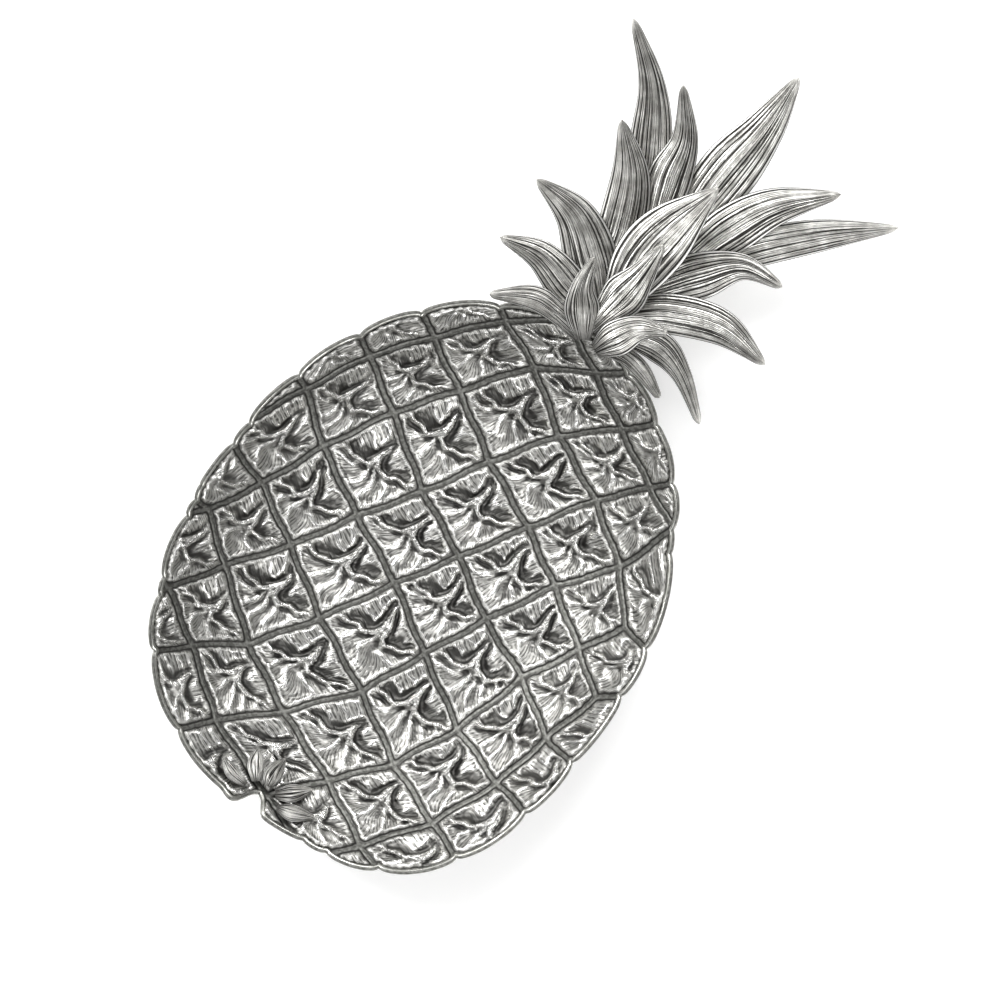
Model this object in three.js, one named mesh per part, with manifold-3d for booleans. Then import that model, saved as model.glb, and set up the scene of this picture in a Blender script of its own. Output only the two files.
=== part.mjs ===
// A shallow silver serving dish in the shape of a whole pineapple, lying on its back.
// Millimetres, +Z up. The origin is the middle of the flat spot that the dish rests on,
// +Y runs to the crown of leaves and +X to the right.
import * as THREE from 'three';
import { mergeVertices } from 'three/addons/utils/BufferGeometryUtils.js';
import Module from 'manifold-3d';

const wasm = await Module();
wasm.setup();

// The body's outline, seen from above: two halves of a rounded oval.
const BODY_HALF_WIDTH = 102.5;
const BODY_TO_CROWN = 130;
const BODY_TO_STALK = 126;
const CROWN_END_ROUNDNESS = 1.95;
const STALK_END_ROUNDNESS = { left: 2.45, right: 2.8 };
const RIM_STEPS = 144;
const SCALLOP = 3;

// The wall: flat in the middle, then rising ever steeper to the rim.
const WALL_RISE = 32;
const FLOOR_SHARE = 0.42;
const WALL_THICKNESS = 2;
const EYE_SWELL_INSIDE = 2.4;
const EYE_SWELL_OUTSIDE = 1.2;
const EYE_FULLNESS = 0.3;
const REST_FLAT_DEPTH = 0.6;
const EYE_STEPS = [0, 0.12, 0.5, 0.88, 1];
const STALK_NOTCH = { x: -2, y: -125.5, radius: 5.5 };

// Where the channels between the eyes cross, row by row from the stalk end to the crown.
// A row's first crossing lies on the slanting column that its "first" names.
const CROSSINGS = [
  { row: -5, first: -1, points: [[-105, -125], [-83, -126], [-57, -144], [-23, -157]] },
  {
    row: -4, first: -2,
    points: [[-125, -80], [-105, -104], [-82, -100], [-52, -125], [-10, -148], [25, -150]],
  },
  {
    row: -3, first: -3,
    points: [[-134, -40], [-117, -57], [-87, -69], [-64, -84], [-37, -104], [1, -118], [34, -128],
      [56, -141]],
  },
  {
    row: -2, first: -3,
    points: [[-113, -30], [-93, -31], [-73, -47], [-45, -69], [-15, -84], [19, -97], [47, -111],
      [74, -121]],
  },
  {
    row: -1, first: -4,
    points: [[-120, 2], [-107, 0], [-81, -8], [-55, -23], [-26, -41], [8, -57], [38, -74],
      [67, -85], [98, -95]],
  },
  {
    row: 0, first: -4,
    points: [[-107, 47], [-90, 37], [-69, 21], [-39, 5], [-8, -9], [21, -27], [52, -45],
      [80, -54], [111, -59]],
  },
  {
    row: 1, first: -4,
    points: [[-93, 76], [-76, 65], [-53, 51], [-22, 31], [8, 17], [34, 1], [62, -10],
      [86, -25], [116, -30]],
  },
  {
    row: 2, first: -4,
    points: [[-77, 100], [-58, 88], [-35, 76], [-6, 59], [25, 45], [50, 31], [75, 15],
      [93, 2], [125, 28]],
  },
  {
    row: 3, first: -4,
    points: [[-54, 124], [-37, 113], [-15, 104], [12, 86], [42, 72], [68, 55], [85, 35],
      [125, 28]],
  },
  {
    row: 4, first: -4,
    points: [[-39, 144], [-14, 129], [9, 117], [33, 104], [58, 91], [77, 82], [125, 28]],
  },
  { row: 5, first: -3, points: [[8, 146], [27, 131], [46, 118], [68, 103], [88, 93], [119, 82]] },
];

// The crown: blades in layers, the lowest at the back.
const LEAF_THICKNESS = 1.6;
const LEAF_ARCH = 0.6;
const LEAF_STEPS = 12;
const LAYER_PITCH = 2.6;
const LOWEST_LAYER_HEIGHT = 27.6;
const CROWN_SWEEP_START = 165;
const CROWN_SWEEP_LENGTH = 110;
const CROWN_SWEEP_RISE = 10;

// Each leaf: the middle line from base to tip, the half width at its four points, the layer,
// how far the tip curls up, and how far the base dips towards the rim.
const LEAVES = {
  back_centre: {
    line: [[3, 175], [4, 219], [6, 248], [5, 275]], half: [5.3, 11.5, 8, 0.9],
    layer: 0, curl: 6,
  },
  back_left: {
    line: [[-19, 192], [-31, 214], [-46, 235], [-69, 253]], half: [6.2, 8.4, 5.3, 1.3],
    layer: 0, curl: 4,
  },
  back_right: {
    line: [[23, 188], [36, 206], [55, 226], [79, 247]], half: [6.2, 7.5, 6.2, 1.3],
    layer: 0, curl: 4,
  },
  inner_left: {
    line: [[-8, 186], [-15, 206], [-20, 224], [-34, 242]], half: [6.2, 8.8, 5.3, 0.9],
    layer: 1, curl: 6,
  },
  inner_right: {
    line: [[14, 183], [20, 203], [30, 223], [50, 244]], half: [6.6, 9.7, 7.5, 0.9],
    layer: 1, curl: 6,
  },
  high_left: {
    line: [[-15, 159], [-20, 177], [-30, 197], [-47, 214]], half: [7.1, 9.3, 7.6, 0.9],
    layer: 2, curl: 6,
  },
  high_right: {
    line: [[10, 164], [21, 179], [34, 193], [53, 196]], half: [7.1, 9.3, 5.3, 0.9],
    layer: 2, curl: 6,
  },
  middle_left: {
    line: [[-8, 144], [-21, 156], [-39, 168], [-62, 171]], half: [6.2, 10.6, 8, 0.9],
    layer: 3, curl: 4,
  },
  middle_right: {
    line: [[3, 144], [19, 157], [42, 166], [67, 164]], half: [5.3, 8, 7.1, 0.9],
    layer: 3, curl: 4,
  },
  low_left: {
    line: [[-8, 137], [-23, 141], [-41, 145], [-60, 141]], half: [3.5, 8, 6.2, 0.9],
    layer: 4, curl: 3,
  },
  low_right: {
    line: [[8, 137], [24, 143], [40, 139], [59, 126]], half: [3, 6.4, 4, 0.9],
    layer: 4, curl: 3,
  },
  rim_left: {
    line: [[-6, 127], [-20, 129], [-33, 128], [-49, 118]], half: [3.5, 4.4, 4.9, 0.9],
    layer: 5, curl: 1,
  },
  rim_right: {
    line: [[3, 127], [14, 131], [25, 130], [38, 125]], half: [2.7, 3.5, 3.5, 0.9],
    layer: 5, curl: 1,
  },
  front_tall: {
    line: [[-1, 146], [-3, 168], [-1, 188], [5, 214]], half: [6.2, 11.9, 11.1, 0.9],
    layer: 6, curl: 8,
  },
  front_curl: {
    line: [[-3, 140], [-1, 152], [0, 164], [0, 180]], half: [5.3, 8.8, 5.7, 0.9],
    layer: 7, curl: 5,
  },
  front_left: {
    line: [[-4, 126], [-12, 136], [-18, 145], [-21, 158]], half: [3, 7.1, 4.4, 0.9],
    layer: 8, curl: 5, dip: 5,
  },
  front_right: {
    line: [[3, 125], [7, 134], [13, 144], [24, 150]], half: [3, 7.1, 5.3, 0.9],
    layer: 8, curl: 5, dip: 5,
  },
};

// The small rosette of bracts round the stalk notch, laid over the inside of the wall.
const BRACT_THICKNESS = 1.2;
const BRACT_CLEARANCE = 0.5;
const BRACTS = {
  far_left: { line: [[-9, -119], [-17, -118], [-24, -115]], half: [0.9, 2.5, 0.7] },
  left: { line: [[-6, -115], [-11, -109], [-14, -103]], half: [1.8, 3, 0.7] },
  centre: { line: [[-1, -114], [-2, -108], [-2, -100]], half: [1.8, 3.4, 0.7] },
  right: { line: [[4, -115], [10, -110], [16, -104]], half: [1.8, 3.2, 0.7] },
  far_right: { line: [[8, -119], [15, -117], [24, -113]], half: [1.2, 3, 0.7] },
};

// The tongue under the leaves that carries them, seen from the side as [y, z].
const SEAT_WIDTH = 26;
const SEAT_PROFILE = [[124, 21], [182, 23.5], [182, 25.5], [160, 30.3], [150, 32.6], [133, 32.6],
  [127, 27]];

const dishSilver = new THREE.MeshStandardMaterial({ color: 0x9d9d99, roughness: 0.25, metalness: 1 });
const leafSilver = new THREE.MeshStandardMaterial({ color: 0xa8a8a2, roughness: 0.35, metalness: 1 });

const part = new THREE.Group();

// --- The dish's shape -----------------------------------------------------------------

// How far out a point lies: 0 in the middle of the body, 1 on the rim.
function rimShare(x, y) {
  const stalkEnd = x > 0 ? STALK_END_ROUNDNESS.right : STALK_END_ROUNDNESS.left;
  const roundness = y > 0 ? CROWN_END_ROUNDNESS : stalkEnd;
  const halfLength = y > 0 ? BODY_TO_CROWN : BODY_TO_STALK;
  const across = Math.abs(x / BODY_HALF_WIDTH) ** roundness;
  const along = Math.abs(y / halfLength) ** roundness;
  return (across + along) ** (1 / roundness);
}

function wallHeight(x, y) {
  const climb = Math.max(0, (rimShare(x, y) - FLOOR_SHARE) / (1 - FLOOR_SHARE));
  return WALL_RISE * climb * climb;
}

// Thickness is measured square to the wall, so it counts for more up and down on the slope.
function slopeFactor(x, y) {
  const climb = Math.max(0, (rimShare(x, y) - FLOOR_SHARE) / (1 - FLOOR_SHARE));
  const slope = (2 * WALL_RISE * climb) / ((1 - FLOOR_SHARE) * BODY_HALF_WIDTH);
  return Math.sqrt(1 + slope * slope);
}

// An eye swells from nothing in the channels to 1 in its middle; s and t run across it.
function eyeSwell(s, t) {
  return Math.max(0, 16 * s * (1 - s) * t * (1 - t)) ** EYE_FULLNESS;
}

function insideHeight(x, y, swell) {
  return wallHeight(x, y) + (WALL_THICKNESS + EYE_SWELL_INSIDE * swell) * slopeFactor(x, y);
}

function outsideHeight(x, y, swell) {
  const groove = EYE_SWELL_OUTSIDE * (1 - swell);
  return Math.max(0, wallHeight(x, y) + groove - REST_FLAT_DEPTH);
}

// Every eye as the four crossings round it, where all four are given.
function listEyes() {
  const rows = new Map(CROSSINGS.map((entry) => [entry.row, entry]));
  const crossing = (column, row) => {
    const entry = rows.get(row);
    return entry ? entry.points[column - entry.first] : undefined;
  };
  const eyes = [];
  for (const { row, first, points } of CROSSINGS) {
    for (let column = first; column < first + points.length - 1; column += 1) {
      const corners = [
        crossing(column, row),
        crossing(column + 1, row),
        crossing(column + 1, row + 1),
        crossing(column, row + 1),
      ];
      if (corners.every((corner) => corner !== undefined)) {
        eyes.push({ column, row, corners });
      }
    }
  }
  return eyes;
}

const eyes = listEyes();

function pointInEye(corners, s, t) {
  const [a, b, c, d] = corners;
  const blend = (axis) => (1 - t) * ((1 - s) * a[axis] + s * b[axis])
    + t * ((1 - s) * d[axis] + s * c[axis]);
  return [blend(0), blend(1)];
}

// Finds s and t for a point by Newton's method, or nothing where it isn't in this eye.
function placeInEye(corners, x, y) {
  let s = 0.5;
  let t = 0.5;
  const nudge = 1e-4;
  for (let round = 0; round < 12; round += 1) {
    const [px, py] = pointInEye(corners, s, t);
    const [sx, sy] = pointInEye(corners, s + nudge, t);
    const [tx, ty] = pointInEye(corners, s, t + nudge);
    const [ax, ay] = [(sx - px) / nudge, (sy - py) / nudge];
    const [bx, by] = [(tx - px) / nudge, (ty - py) / nudge];
    const area = ax * by - ay * bx;
    s += ((x - px) * by - (y - py) * bx) / area;
    t += (ax * (y - py) - ay * (x - px)) / area;
  }
  const inside = s >= 0 && s <= 1 && t >= 0 && t <= 1;
  return inside ? [s, t] : undefined;
}

function swellAt(x, y) {
  for (const { corners } of eyes) {
    const place = placeInEye(corners, x, y);
    if (place) {
      return eyeSwell(...place);
    }
  }
  return 0;
}

// --- Solids from triangles ------------------------------------------------------------

function solidFromGeometry(geometry) {
  const bare = geometry.index ? geometry.toNonIndexed() : geometry.clone();
  bare.deleteAttribute('normal');
  bare.deleteAttribute('uv');
  const merged = mergeVertices(bare, 1e-4);
  return new wasm.Manifold(new wasm.Mesh({
    numProp: 3,
    vertProperties: new Float32Array(merged.attributes.position.array),
    triVerts: new Uint32Array(merged.index.array),
  }));
}

function geometryFromTriangles(vertices, triangles) {
  const geometry = new THREE.BufferGeometry();
  geometry.setAttribute('position', new THREE.BufferAttribute(new Float32Array(vertices), 3));
  geometry.setIndex(new THREE.BufferAttribute(new Uint32Array(triangles), 1));
  return geometry;
}

function geometryFromSolid(solid) {
  const { vertProperties, triVerts } = solid.getMesh();
  const geometry = geometryFromTriangles(vertProperties, triVerts);
  geometry.computeVertexNormals();
  return geometry;
}

function addMesh(name, geometry, material) {
  const mesh = new THREE.Mesh(geometry, material);
  mesh.name = name;
  part.add(mesh);
}

// --- Dish -----------------------------------------------------------------------------

// A closed sheet over all the eyes, wider than the dish: the inside face on top, the outside
// face below and a wall round the ragged edge. Neighbouring eyes share their edge points.
function eyeSheet() {
  const steps = EYE_STEPS.length - 1;
  const inside = [];
  const outside = [];
  const numbers = new Map();
  const number = (eye, a, b) => {
    const [s, t] = [EYE_STEPS[a], EYE_STEPS[b]];
    const [x, y] = pointInEye(eye.corners, s, t);
    const key = `${x.toFixed(3)},${y.toFixed(3)}`;
    if (!numbers.has(key)) {
      const swell = eyeSwell(s, t);
      numbers.set(key, numbers.size);
      inside.push(x, y, insideHeight(x, y, swell));
      outside.push(x, y, outsideHeight(x, y, swell));
    }
    return numbers.get(key);
  };
  const faces = [];
  for (const eye of eyes) {
    for (let a = 0; a < steps; a += 1) {
      for (let b = 0; b < steps; b += 1) {
        const [p, q] = [number(eye, a, b), number(eye, a + 1, b)];
        const [r, u] = [number(eye, a + 1, b + 1), number(eye, a, b + 1)];
        faces.push([p, q, r], [p, r, u]);
      }
    }
  }
  const below = numbers.size;
  const edges = new Set();
  for (const [p, q, r] of faces) {
    edges.add(`${p},${q}`).add(`${q},${r}`).add(`${r},${p}`);
  }
  const triangles = [];
  for (const [p, q, r] of faces) {
    triangles.push(p, q, r, below + p, below + r, below + q);
  }
  for (const edge of edges) {
    const [p, q] = edge.split(',').map(Number);
    if (!edges.has(`${q},${p}`)) {
      triangles.push(p, below + p, q, q, below + p, below + q);
    }
  }
  return solidFromGeometry(geometryFromTriangles([...inside, ...outside], triangles));
}

// The rim seen from above: each eye that reaches it bulges out, each channel leaves a notch.
function rimPrism() {
  const outline = new THREE.Shape();
  for (let step = 0; step < RIM_STEPS; step += 1) {
    const angle = (2 * Math.PI * step) / RIM_STEPS;
    const [cos, sin] = [Math.cos(angle), Math.sin(angle)];
    const reach = 1 / rimShare(cos, sin);
    const swell = swellAt(reach * cos, reach * sin);
    const radius = reach + SCALLOP * (swell - 0.5);
    if (step === 0) {
      outline.moveTo(radius * cos, radius * sin);
    } else {
      outline.lineTo(radius * cos, radius * sin);
    }
  }
  outline.closePath();
  const prism = new THREE.ExtrudeGeometry(outline, { depth: 4 * WALL_RISE, bevelEnabled: false });
  return solidFromGeometry(prism.translate(0, 0, -WALL_RISE));
}

function stalkNotch() {
  const post = new THREE.CylinderGeometry(STALK_NOTCH.radius, STALK_NOTCH.radius, 4 * WALL_RISE, 20);
  post.rotateX(Math.PI / 2).translate(STALK_NOTCH.x, STALK_NOTCH.y, WALL_RISE);
  return solidFromGeometry(post);
}

addMesh('dish', geometryFromSolid(eyeSheet().intersect(rimPrism()).subtract(stalkNotch())), dishSilver);

// --- Blades: crown leaves and bracts ----------------------------------------------------

// A blade has a lens-shaped section that arches across and tapers along its middle line.
// height(x, y, share) gives the middle surface, where share runs from 0 at the base to 1.
function bladeGeometry({ line, half, thickness, arch, height }) {
  const middle = new THREE.CatmullRomCurve3(line.map(([x, y]) => new THREE.Vector3(x, y, 0)));
  const width = new THREE.CatmullRomCurve3(
    half.map((value, index) => new THREE.Vector3(index / (half.length - 1), value, 0)),
    false,
    'catmullrom',
    0.4,
  );
  const acrossTop = [-1, -0.5, 0, 0.5, 1];
  const acrossBottom = [0.5, 0, -0.5];
  const vertices = [];
  for (let step = 0; step <= LEAF_STEPS; step += 1) {
    const share = step / LEAF_STEPS;
    const centre = middle.getPoint(share);
    const along = middle.getTangent(share);
    const reach = width.getPoint(share).y;
    const addPoint = (q, side) => {
      const x = centre.x + along.y * reach * q;
      const y = centre.y - along.x * reach * q;
      const z = height(x, y, share) - arch * q * q + side * (thickness / 2) * (1 - q * q);
      vertices.push(x, y, z);
    };
    acrossTop.forEach((q) => addPoint(q, 1));
    acrossBottom.forEach((q) => addPoint(q, -1));
  }
  const ring = acrossTop.length + acrossBottom.length;
  const triangles = [];
  for (let step = 0; step < LEAF_STEPS; step += 1) {
    for (let k = 0; k < ring; k += 1) {
      const next = (k + 1) % ring;
      const [p, q] = [step * ring + k, step * ring + next];
      triangles.push(p, q, p + ring, q, q + ring, p + ring);
    }
  }
  const last = LEAF_STEPS * ring;
  for (let k = 1; k < ring - 1; k += 1) {
    triangles.push(0, k + 1, k, last, last + k, last + k + 1);
  }
  const geometry = geometryFromTriangles(vertices, triangles);
  geometry.computeVertexNormals();
  return geometry;
}

function crownSweep(y) {
  const share = Math.max(0, (y - CROWN_SWEEP_START) / CROWN_SWEEP_LENGTH);
  return CROWN_SWEEP_RISE * share ** 1.5;
}

for (const [name, { line, half, layer, curl, dip = 0 }] of Object.entries(LEAVES)) {
  const geometry = bladeGeometry({
    line,
    half,
    thickness: LEAF_THICKNESS,
    arch: LEAF_ARCH,
    height: (x, y, share) => LOWEST_LAYER_HEIGHT + layer * LAYER_PITCH + crownSweep(y)
      + curl * share ** 3 - dip * (1 - share) ** 4,
  });
  addMesh(`crown_leaf_${name}`, geometry, leafSilver);
}

for (const [name, { line, half }] of Object.entries(BRACTS)) {
  const geometry = bladeGeometry({
    line,
    half,
    thickness: BRACT_THICKNESS,
    arch: 0,
    height: (x, y) => insideHeight(x, y, 1) + (BRACT_THICKNESS / 2 + BRACT_CLEARANCE) * slopeFactor(x, y),
  });
  addMesh(`base_bract_${name}`, geometry, leafSilver);
}

// --- Crown seat -------------------------------------------------------------------------

function crownSeat() {
  const side = new THREE.Shape(SEAT_PROFILE.map(([y, z]) => new THREE.Vector2(y, z)));
  const seat = new THREE.ExtrudeGeometry(side, { depth: SEAT_WIDTH, bevelEnabled: false });
  seat.rotateX(Math.PI / 2).rotateZ(Math.PI / 2).translate(-SEAT_WIDTH / 2, 0, 0);
  return seat;
}

addMesh('crown_seat', crownSeat(), dishSilver);

export default part;
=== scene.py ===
import bpy
import math
import numpy as np
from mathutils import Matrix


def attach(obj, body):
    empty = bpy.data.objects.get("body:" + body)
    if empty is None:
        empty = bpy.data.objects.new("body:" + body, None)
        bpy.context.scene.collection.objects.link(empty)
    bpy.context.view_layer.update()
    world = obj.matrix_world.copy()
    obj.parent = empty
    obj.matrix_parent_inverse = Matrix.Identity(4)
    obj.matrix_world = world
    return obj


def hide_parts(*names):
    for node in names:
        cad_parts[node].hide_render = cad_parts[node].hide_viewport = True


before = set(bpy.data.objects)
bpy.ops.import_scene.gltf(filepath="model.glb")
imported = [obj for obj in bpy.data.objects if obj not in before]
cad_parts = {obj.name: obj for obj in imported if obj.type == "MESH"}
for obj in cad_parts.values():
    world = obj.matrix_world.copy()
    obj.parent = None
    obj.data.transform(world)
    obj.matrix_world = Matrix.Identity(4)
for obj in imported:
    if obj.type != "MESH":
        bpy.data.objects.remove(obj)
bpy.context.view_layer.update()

# ---------------------------------------------------------------------------------------
# Camera, table and studio. The dish lies on its back on a plain pale table and the camera
# hangs over it, turned so that the crown points to the upper right.
VIEW_TURN = math.radians(36)
VIEW_CENTRE = (0.0078, 0.0477)
VIEW_HEIGHT = 5.0
VIEW_WIDTH = 0.442
SENSOR_WIDTH = 36

camera_data = bpy.data.cameras.new("camera")
camera_data.sensor_width = SENSOR_WIDTH
camera_data.lens = SENSOR_WIDTH * VIEW_HEIGHT / VIEW_WIDTH
camera = bpy.data.objects.new("camera", camera_data)
camera.location = (*VIEW_CENTRE, VIEW_HEIGHT)
camera.rotation_euler = (0, 0, VIEW_TURN)
bpy.context.scene.collection.objects.link(camera)
bpy.context.scene.camera = camera
bpy.context.scene.view_settings.view_transform = "Standard"

TABLE_HALF = 6.0
TABLE_TOP = -0.0003
table_mesh = bpy.data.meshes.new("table")
table_mesh.from_pydata(
    [(x * TABLE_HALF, y * TABLE_HALF, TABLE_TOP) for x, y in ((-1, -1), (1, -1), (1, 1), (-1, 1))],
    [], [(0, 1, 2, 3)])
table = bpy.data.objects.new("table", table_mesh)
bpy.context.scene.collection.objects.link(table)

table_paint = bpy.data.materials.new("pale table")
table_paint.use_nodes = True
table_shader = table_paint.node_tree.nodes["Principled BSDF"]
table_shader.inputs["Base Color"].default_value = (0.92, 0.92, 0.92, 1)
table_shader.inputs["Roughness"].default_value = 0.9
table_shader.inputs["Specular IOR Level"].default_value = 0.1
# The table glows faintly: painted light that lifts the dish's shadow on it almost to white.
table_shader.inputs["Emission Color"].default_value = (1, 1, 1, 1)
table_shader.inputs["Emission Strength"].default_value = 0.28
table_mesh.materials.append(table_paint)

# The studio is a grey tent, open at the top and bright in a ring below the opening, so that
# flat silver looks dark and silver tipped towards the ring flashes white.
studio = bpy.data.worlds.new("studio tent")
bpy.context.scene.world = studio
studio.use_nodes = True
studio_nodes = studio.node_tree.nodes
studio_links = studio.node_tree.links
studio_back = studio_nodes["Background"]
direction = studio_nodes.new("ShaderNodeTexCoord")
height_of = studio_nodes.new("ShaderNodeSeparateXYZ")
tent = studio_nodes.new("ShaderNodeValToRGB")
tent.color_ramp.interpolation = "EASE"
TENT_STOPS = [(0.0, 0.30), (0.25, 0.28), (0.45, 0.45), (0.62, 1.25), (0.80, 1.5), (0.90, 0.5),
              (0.955, 0.04)]
while len(tent.color_ramp.elements) < len(TENT_STOPS):
    tent.color_ramp.elements.new(0.5)
for stop, (place, grey) in zip(tent.color_ramp.elements, TENT_STOPS):
    stop.position = place
    stop.color = (grey, grey, grey, 1)
lit_side = studio_nodes.new("ShaderNodeVectorMath")
lit_side.operation = "DOT_PRODUCT"
lit_side.inputs[1].default_value = (-0.99, 0.16, 0)
side_gain = studio_nodes.new("ShaderNodeMapRange")
side_gain.inputs["From Min"].default_value = -0.7
side_gain.inputs["From Max"].default_value = 0.7
side_gain.inputs["To Min"].default_value = 0.65
side_gain.inputs["To Max"].default_value = 1.3
lit_tent = studio_nodes.new("ShaderNodeVectorMath")
lit_tent.operation = "SCALE"
studio_links.new(direction.outputs["Generated"], height_of.inputs[0])
studio_links.new(height_of.outputs["Z"], tent.inputs["Fac"])
studio_links.new(direction.outputs["Generated"], lit_side.inputs[0])
studio_links.new(lit_side.outputs["Value"], side_gain.inputs["Value"])
studio_links.new(tent.outputs["Color"], lit_tent.inputs[0])
studio_links.new(side_gain.outputs["Result"], lit_tent.inputs["Scale"])
studio_links.new(lit_tent.outputs["Vector"], studio_back.inputs["Color"])
studio_back.inputs["Strength"].default_value = 0.8

# Soft boxes: place, size and power of each, all aimed at the dish.
SOFT_BOXES = {
    "box_left": ((-1.5, 0.2, 1.35), 1.0, 34.0),
    "box_upper": ((-0.5, 1.6, 1.3), 0.8, 20.0),
    "box_right": ((1.3, -0.7, 1.3), 0.8, 16.0),
}
for name, (place, size, power) in SOFT_BOXES.items():
    box_data = bpy.data.lights.new(name, "AREA")
    box_data.shape = "SQUARE"
    box_data.size = size
    box_data.energy = power
    box = bpy.data.objects.new(name, box_data)
    box.location = place
    way = math.hypot(place[0], place[1])
    box.rotation_euler = (math.atan2(way, place[2]), 0, math.atan2(place[1], place[0]) + math.pi / 2)
    bpy.context.scene.collection.objects.link(box)

# ---------------------------------------------------------------------------------------
# Dish. One silver casting: a shallow bowl whose inside is covered with raised eyes, parted
# by channels and chased by hand, each with a hooked spine and two scooped hollows above it.
# The underside has plainer eyes, and a smooth rounded lip joins the two faces.
MM = 0.001
HALF_WIDTH = 102.5
TO_CROWN = 130.0
TO_STALK = 126.0
CROWN_ROUNDNESS = 1.95
STALK_ROUNDNESS_LEFT = 2.45
STALK_ROUNDNESS_RIGHT = 2.8
SCALLOP = 3.5
WALL_RISE = 32.0
FLOOR_SHARE = 0.42
WALL_THICKNESS = 2.0
GROOVE_OUTSIDE = 1.2
REST_FLAT_DEPTH = 0.6

# Where the channels cross, row by row from the stalk end: row, first column, places in mm.
# Where rows share a place, their channels run into one at the rim.
CROSSINGS = [
    (-5, -1, [(-105, -125), (-83, -126), (-57, -144), (-23, -157)]),
    (-4, -2, [(-125, -80), (-105, -104), (-82, -100), (-52, -125), (-10, -148), (25, -150)]),
    (-3, -3, [(-134, -40), (-117, -57), (-87, -69), (-64, -84), (-37, -104), (1, -118), (34, -128),
              (56, -141)]),
    (-2, -3, [(-113, -30), (-93, -31), (-73, -47), (-45, -69), (-15, -84), (19, -97), (47, -111),
              (74, -121)]),
    (-1, -4, [(-120, 2), (-107, 0), (-81, -8), (-55, -23), (-26, -41), (8, -57), (38, -74),
              (67, -85), (98, -95)]),
    (0, -4, [(-107, 47), (-90, 37), (-69, 21), (-39, 5), (-8, -9), (21, -27), (52, -45),
             (80, -54), (111, -59)]),
    (1, -4, [(-93, 76), (-76, 65), (-53, 51), (-22, 31), (8, 17), (34, 1), (62, -10),
             (86, -25), (116, -30)]),
    (2, -4, [(-77, 100), (-58, 88), (-35, 76), (-6, 59), (25, 45), (50, 31), (75, 15),
             (93, 2), (125, 28)]),
    (3, -4, [(-54, 124), (-37, 113), (-15, 104), (12, 86), (42, 72), (68, 55), (85, 35),
             (125, 28)]),
    (4, -4, [(-39, 144), (-14, 129), (9, 117), (33, 104), (58, 91), (77, 82), (125, 28)]),
    (5, -3, [(8, 146), (27, 131), (46, 118), (68, 103), (88, 93), (119, 82)]),
]


def rim_share(x, y):
    """How far out a point lies: 0 in the middle of the body, 1 on the plain oval."""
    stalk = np.where(x > 0, STALK_ROUNDNESS_RIGHT, STALK_ROUNDNESS_LEFT)
    power = np.where(y > 0, CROWN_ROUNDNESS, stalk)
    half = np.where(y > 0, TO_CROWN, TO_STALK)
    return (np.abs(x / HALF_WIDTH) ** power + np.abs(y / half) ** power) ** (1 / power)


def wall_shape(x, y):
    """The wall's rise in mm, and how much a thickness square to it counts up and down."""
    climb = np.maximum(0, (rim_share(x, y) - FLOOR_SHARE) / (1 - FLOOR_SHARE))
    slope = 2 * WALL_RISE * climb / ((1 - FLOOR_SHARE) * HALF_WIDTH)
    return WALL_RISE * climb ** 2, np.sqrt(1 + slope ** 2)


def ease(low, high, value):
    """0 up to low and 1 from high on, with a smooth step between."""
    share = np.clip((value - low) / (high - low), 0, 1)
    return share * share * (3 - 2 * share)


crossing = {(first + k, row): point
            for row, first, points in CROSSINGS for k, point in enumerate(points)}
eyes = []
for (column, row) in crossing:
    keys = [(column, row), (column + 1, row), (column + 1, row + 1), (column, row + 1)]
    if all(key in crossing for key in keys):
        eyes.append((column, row, np.array([crossing[key] for key in keys], float)))


CHANNEL_WAVER = 0.5


def eye_point(corners, s, t):
    """A point of an eye's four-cornered patch, with the channels' slight hand-made waver."""
    a, b, c, d = corners
    s, t = s[..., None], t[..., None]
    place = (1 - t) * ((1 - s) * a + s * b) + t * ((1 - s) * d + s * c)
    x, y = place[..., 0], place[..., 1]
    return (x + CHANNEL_WAVER * np.sin(y / 4.9 + x / 11 + 1.0),
            y + CHANNEL_WAVER * np.sin(x / 4.3 - y / 9.0))


NEWTON_ROUNDS = 14
NUDGE = 1e-4


def eye_share(corners, x, y):
    """s and t of points in an eye, by Newton's method."""
    s, t = np.full_like(x, 0.5), np.full_like(x, 0.5)
    for _ in range(NEWTON_ROUNDS):
        px, py = eye_point(corners, s, t)
        sx, sy = eye_point(corners, s + NUDGE, t)
        tx, ty = eye_point(corners, s, t + NUDGE)
        ax, ay, bx, by = (sx - px) / NUDGE, (sy - py) / NUDGE, (tx - px) / NUDGE, (ty - py) / NUDGE
        area = ax * by - ay * bx
        area = np.where(np.abs(area) < 1e-6, 1e-6, area)
        s = np.clip(s + ((x - px) * by - (y - py) * bx) / area, -2, 3)
        t = np.clip(t + (ax * (y - py) - ay * (x - px)) / area, -2, 3)
    return s, t


# The scalloped outline as a radius for each angle: an eye bulges out, a channel is a notch.
# The stalk notch and the small lobe to its left each have a place, a depth and a width.
STALK_NOTCH = (-2.0, 6.0, 5.5)
STALK_LOBE = (-11.0, 1.6, 4.0)
ANGLES = np.linspace(-math.pi, math.pi, 1441)
plain_radius = 1 / rim_share(np.cos(ANGLES), np.sin(ANGLES))
outline_x, outline_y = plain_radius * np.cos(ANGLES), plain_radius * np.sin(ANGLES)
outline_swell = np.zeros_like(ANGLES)
for _, _, corners in eyes:
    s, t = eye_share(corners, outline_x, outline_y)
    within = (s > 0) & (s < 1) & (t > 0) & (t < 1)
    swell = np.clip(16 * s * (1 - s) * t * (1 - t), 0, 1) ** 0.3
    outline_swell = np.where(within, swell, outline_swell)
notch_x, notch_depth, notch_width = STALK_NOTCH
lobe_x, lobe_height, lobe_width = STALK_LOBE
stalk_dip = notch_depth * np.exp(-(((outline_x - notch_x) / notch_width) ** 4))
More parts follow.
